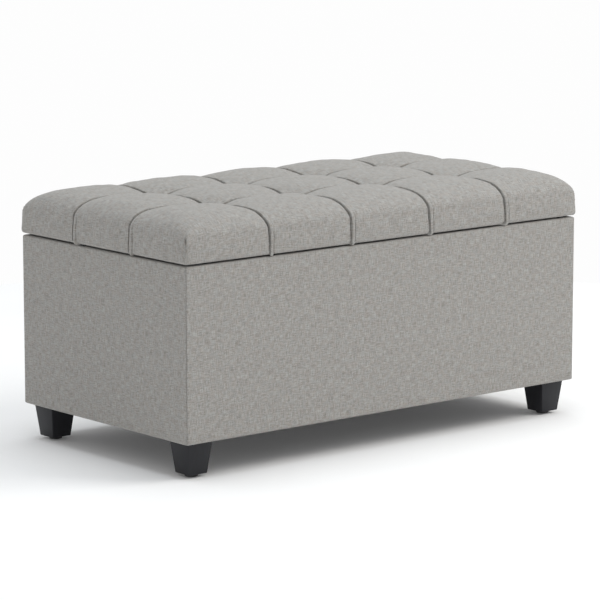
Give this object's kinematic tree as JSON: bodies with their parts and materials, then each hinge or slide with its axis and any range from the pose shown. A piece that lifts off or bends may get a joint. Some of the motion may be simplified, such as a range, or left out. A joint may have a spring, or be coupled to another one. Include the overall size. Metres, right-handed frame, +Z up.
{
  "type": "storage bench",
  "caption": "Upholstered storage bench: a fabric-covered box on tapered block legs, with a tufted padded lid that hinges up on folding stays to open a lined cavity.",
  "frame": {"origin": "on the floor, under the middle of the lid, which sets the length and depth", "axes": "+X along the bench to the right seen from the front, -Y towards the front, +Z up"},
  "size_m": [0.864, 0.455, 0.434],
  "materials": {
    "linen_fabric": "matte",
    "lining_fabric": "matte",
    "dust_fabric": "matte",
    "board_wood": "matte",
    "pine_wood": "matte",
    "black_wood": "satin",
    "glide_plastic": "satin",
    "bumper_rubber": "matte",
    "foam": "matte",
    "tie_cord": "matte",
    "washer_plastic": "satin",
    "zinc_steel": "satin"
  },
  "bodies": {
    "box": {"front_panel": "board_wood", "back_panel": "board_wood", "left_end_panel": "board_wood", "right_end_panel": "board_wood", "bottom_panel": "board_wood", "corner_blocks": "pine_wood", "bottom_cleats": "pine_wood", "panel_screws": "zinc_steel", "front_cover": "linen_fabric", "back_cover": "linen_fabric", "left_cover": "linen_fabric", "right_cover": "linen_fabric", "wall_lining": "lining_fabric", "floor_lining": "lining_fabric", "dust_cover": "dust_fabric", "leg_front_left": "black_wood", "leg_front_right": "black_wood", "leg_back_left": "black_wood", "leg_back_right": "black_wood", "leg_hanger_bolts": "zinc_steel", "leg_t_nuts": "zinc_steel", "leg_glides": "glide_plastic", "lid_bumpers": "bumper_rubber", "hinge_box_leaf": "zinc_steel", "hinge_pin": "zinc_steel", "hinge_box_screws": "zinc_steel", "left_stay_box_bracket": "zinc_steel", "right_stay_box_bracket": "zinc_steel", "left_stay_box_rivet": "zinc_steel", "right_stay_box_rivet": "zinc_steel", "stay_box_screws": "zinc_steel"},
    "lid": {"lid_cover": "linen_fabric", "lid_board": "board_wood", "lid_foam": "foam", "lid_lining": "lining_fabric", "tuft_ties": "tie_cord", "tuft_washers": "washer_plastic", "hinge_lid_leaf": "zinc_steel", "hinge_lid_screws": "zinc_steel", "left_stay_lid_bracket": "zinc_steel", "right_stay_lid_bracket": "zinc_steel", "left_stay_lid_rivet": "zinc_steel", "right_stay_lid_rivet": "zinc_steel", "stay_lid_screws": "zinc_steel"},
    "left_lower_arm": {"left_stay_lower_arm": "zinc_steel", "left_stay_elbow_rivet": "zinc_steel"},
    "left_upper_arm": {"left_stay_upper_arm": "zinc_steel"},
    "right_lower_arm": {"right_stay_lower_arm": "zinc_steel", "right_stay_elbow_rivet": "zinc_steel"},
    "right_upper_arm": {"right_stay_upper_arm": "zinc_steel"}
  },
  "joints": [
    {"name": "lid_hinge", "type": "hinge", "parent": "box", "child": "lid", "pos_m": [0, 0.2255, 0.3505], "axis": [-1, 0, 0], "range_deg": [0, 85]},
    {"name": "left_lower_arm_pivot", "type": "hinge", "parent": "box", "child": "left_lower_arm", "pos_m": [-0.4095, 0.1355, 0.3055], "axis": [-1, 0, 0], "range_deg": [0, 85]},
    {"name": "left_upper_arm_pivot", "type": "hinge", "parent": "lid", "child": "left_upper_arm", "pos_m": [-0.407, 0.0555, 0.3345], "axis": [-1, 0, 0], "range_deg": [-85, 0]},
    {"name": "right_lower_arm_pivot", "type": "hinge", "parent": "box", "child": "right_lower_arm", "pos_m": [0.4095, 0.1355, 0.3055], "axis": [-1, 0, 0], "range_deg": [0, 85]},
    {"name": "right_upper_arm_pivot", "type": "hinge", "parent": "lid", "child": "right_upper_arm", "pos_m": [0.407, 0.0555, 0.3345], "axis": [-1, 0, 0], "range_deg": [-85, 0]}
  ],
  "couplings": [
    {"joint": "left_lower_arm_pivot", "follows": "lid_hinge", "ratio": 1},
    {"joint": "left_upper_arm_pivot", "follows": "lid_hinge", "ratio": -1},
    {"joint": "right_lower_arm_pivot", "follows": "lid_hinge", "ratio": 1},
    {"joint": "right_upper_arm_pivot", "follows": "lid_hinge", "ratio": -1}
  ]
}
